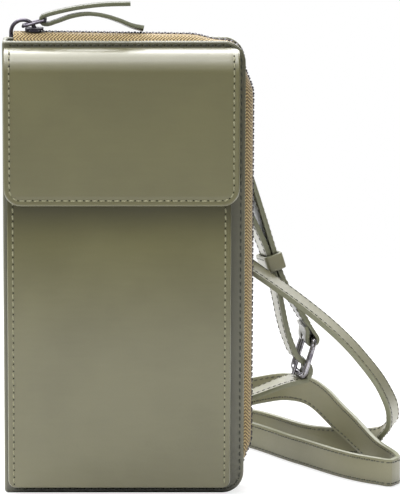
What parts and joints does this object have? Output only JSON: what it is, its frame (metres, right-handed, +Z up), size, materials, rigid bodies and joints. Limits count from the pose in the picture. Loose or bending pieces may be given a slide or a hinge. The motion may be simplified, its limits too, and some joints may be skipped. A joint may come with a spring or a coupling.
{
  "type": "phone pouch",
  "caption": "Slim upright leather phone pouch: a zip-around wallet body with a flapped front pocket, zip puller and a long buckled shoulder strap on two rings",
  "frame": {"origin": "on the surface the pouch stands on, in the middle of the body's footprint, zip teeth, ring tabs and rings included and the strap left out", "axes": "+Z up, -Y the pocket and flap side, +X from the spine to the zip's free side"},
  "size_m": [0.168, 0.1335, 0.2078],
  "materials": {
    "leather": "smooth satin olive green with a fine grain and contrast stitching",
    "strap_leather": "smooth satin olive green, doubled and edge stitched",
    "card_leather": "smooth matte olive green",
    "lining": "matte woven lining",
    "zip_tape": "matte twill in gold beige",
    "zip_teeth": "gunmetal plated, satin",
    "hardware": "polished gunmetal plating",
    "magnet": "plain nickel"
  },
  "bodies": {
    "back": {"back_cover": "leather", "back_lining": "lining", "card_panel": "card_leather", "back_zip_tape": "zip_tape", "back_zip_teeth": "zip_teeth", "left_ring_tab": "leather", "right_ring_tab": "leather", "left_strap_ring": "hardware", "right_strap_ring": "hardware", "left_strap_fold": "strap_leather", "right_strap_fold": "strap_leather", "short_strap": "strap_leather", "long_strap": "strap_leather", "buckle_fold": "strap_leather", "buckle_frame": "hardware", "buckle_prong": "hardware"},
    "keeper": {"strap_keeper": "strap_leather"},
    "spine": {"spine": "leather"},
    "front": {"front_cover": "leather", "front_lining": "lining", "slip_pocket": "card_leather", "front_zip_tape": "zip_tape", "front_zip_teeth": "zip_teeth", "pocket_gusset": "leather", "pocket_back_lining": "lining", "pocket_front": "leather", "pocket_front_lining": "lining", "pocket_magnet": "magnet", "flap_root": "leather"},
    "flap_top": {"flap_fold": "leather"},
    "flap": {"flap_panel": "leather", "flap_lining": "lining", "flap_magnet": "magnet"},
    "slider": {"zip_slider": "hardware"},
    "link": {"puller_link": "hardware"},
    "thong": {"puller_thong": "strap_leather"}
  },
  "joints": [
    {"name": "spine_fold", "type": "hinge", "parent": "back", "child": "spine", "pos_m": [-0.05095, 0.01155, 0.095], "axis": [0, 0, 1], "range_deg": [-90, 0]},
    {"name": "front_fold", "type": "hinge", "parent": "spine", "child": "front", "pos_m": [-0.05095, -0.00445, 0.095], "axis": [0, 0, 1], "range_deg": [-90, 0]},
    {"name": "flap_top_fold", "type": "hinge", "parent": "front", "child": "flap_top", "pos_m": [-0.003, -0.00675, 0.1864], "axis": [-1, 0, 0], "range_deg": [0, 85]},
    {"name": "flap_panel_fold", "type": "hinge", "parent": "flap_top", "child": "flap", "pos_m": [-0.003, -0.01785, 0.1799], "axis": [-1, 0, 0], "range_deg": [0, 85]},
    {"name": "zip_run", "type": "slide", "parent": "back", "child": "slider", "axis": [0.9999, 0, -0.015], "range_m": [0, 0.07], "deforming": ["back_zip_teeth", "front_zip_teeth"]},
    {"name": "link_swing", "type": "hinge", "parent": "slider", "child": "link", "pos_m": [-0.04341, 0.00355, 0.19544], "axis": [0, -1, 0], "range_deg": [0, 85]},
    {"name": "thong_swing", "type": "hinge", "parent": "link", "child": "thong", "pos_m": [-0.03434, 0.00355, 0.19789], "axis": [0, -1, 0], "range_deg": [0, 60]},
    {"name": "keeper_slide", "type": "slide", "parent": "back", "child": "keeper", "axis": [-0.3007, 0, 0.9537], "range_m": [0, 0.004]}
  ],
  "couplings": [
    {"joint": "front_fold", "follows": "spine_fold", "ratio": 1},
    {"joint": "flap_panel_fold", "follows": "flap_top_fold", "ratio": 1}
  ]
}
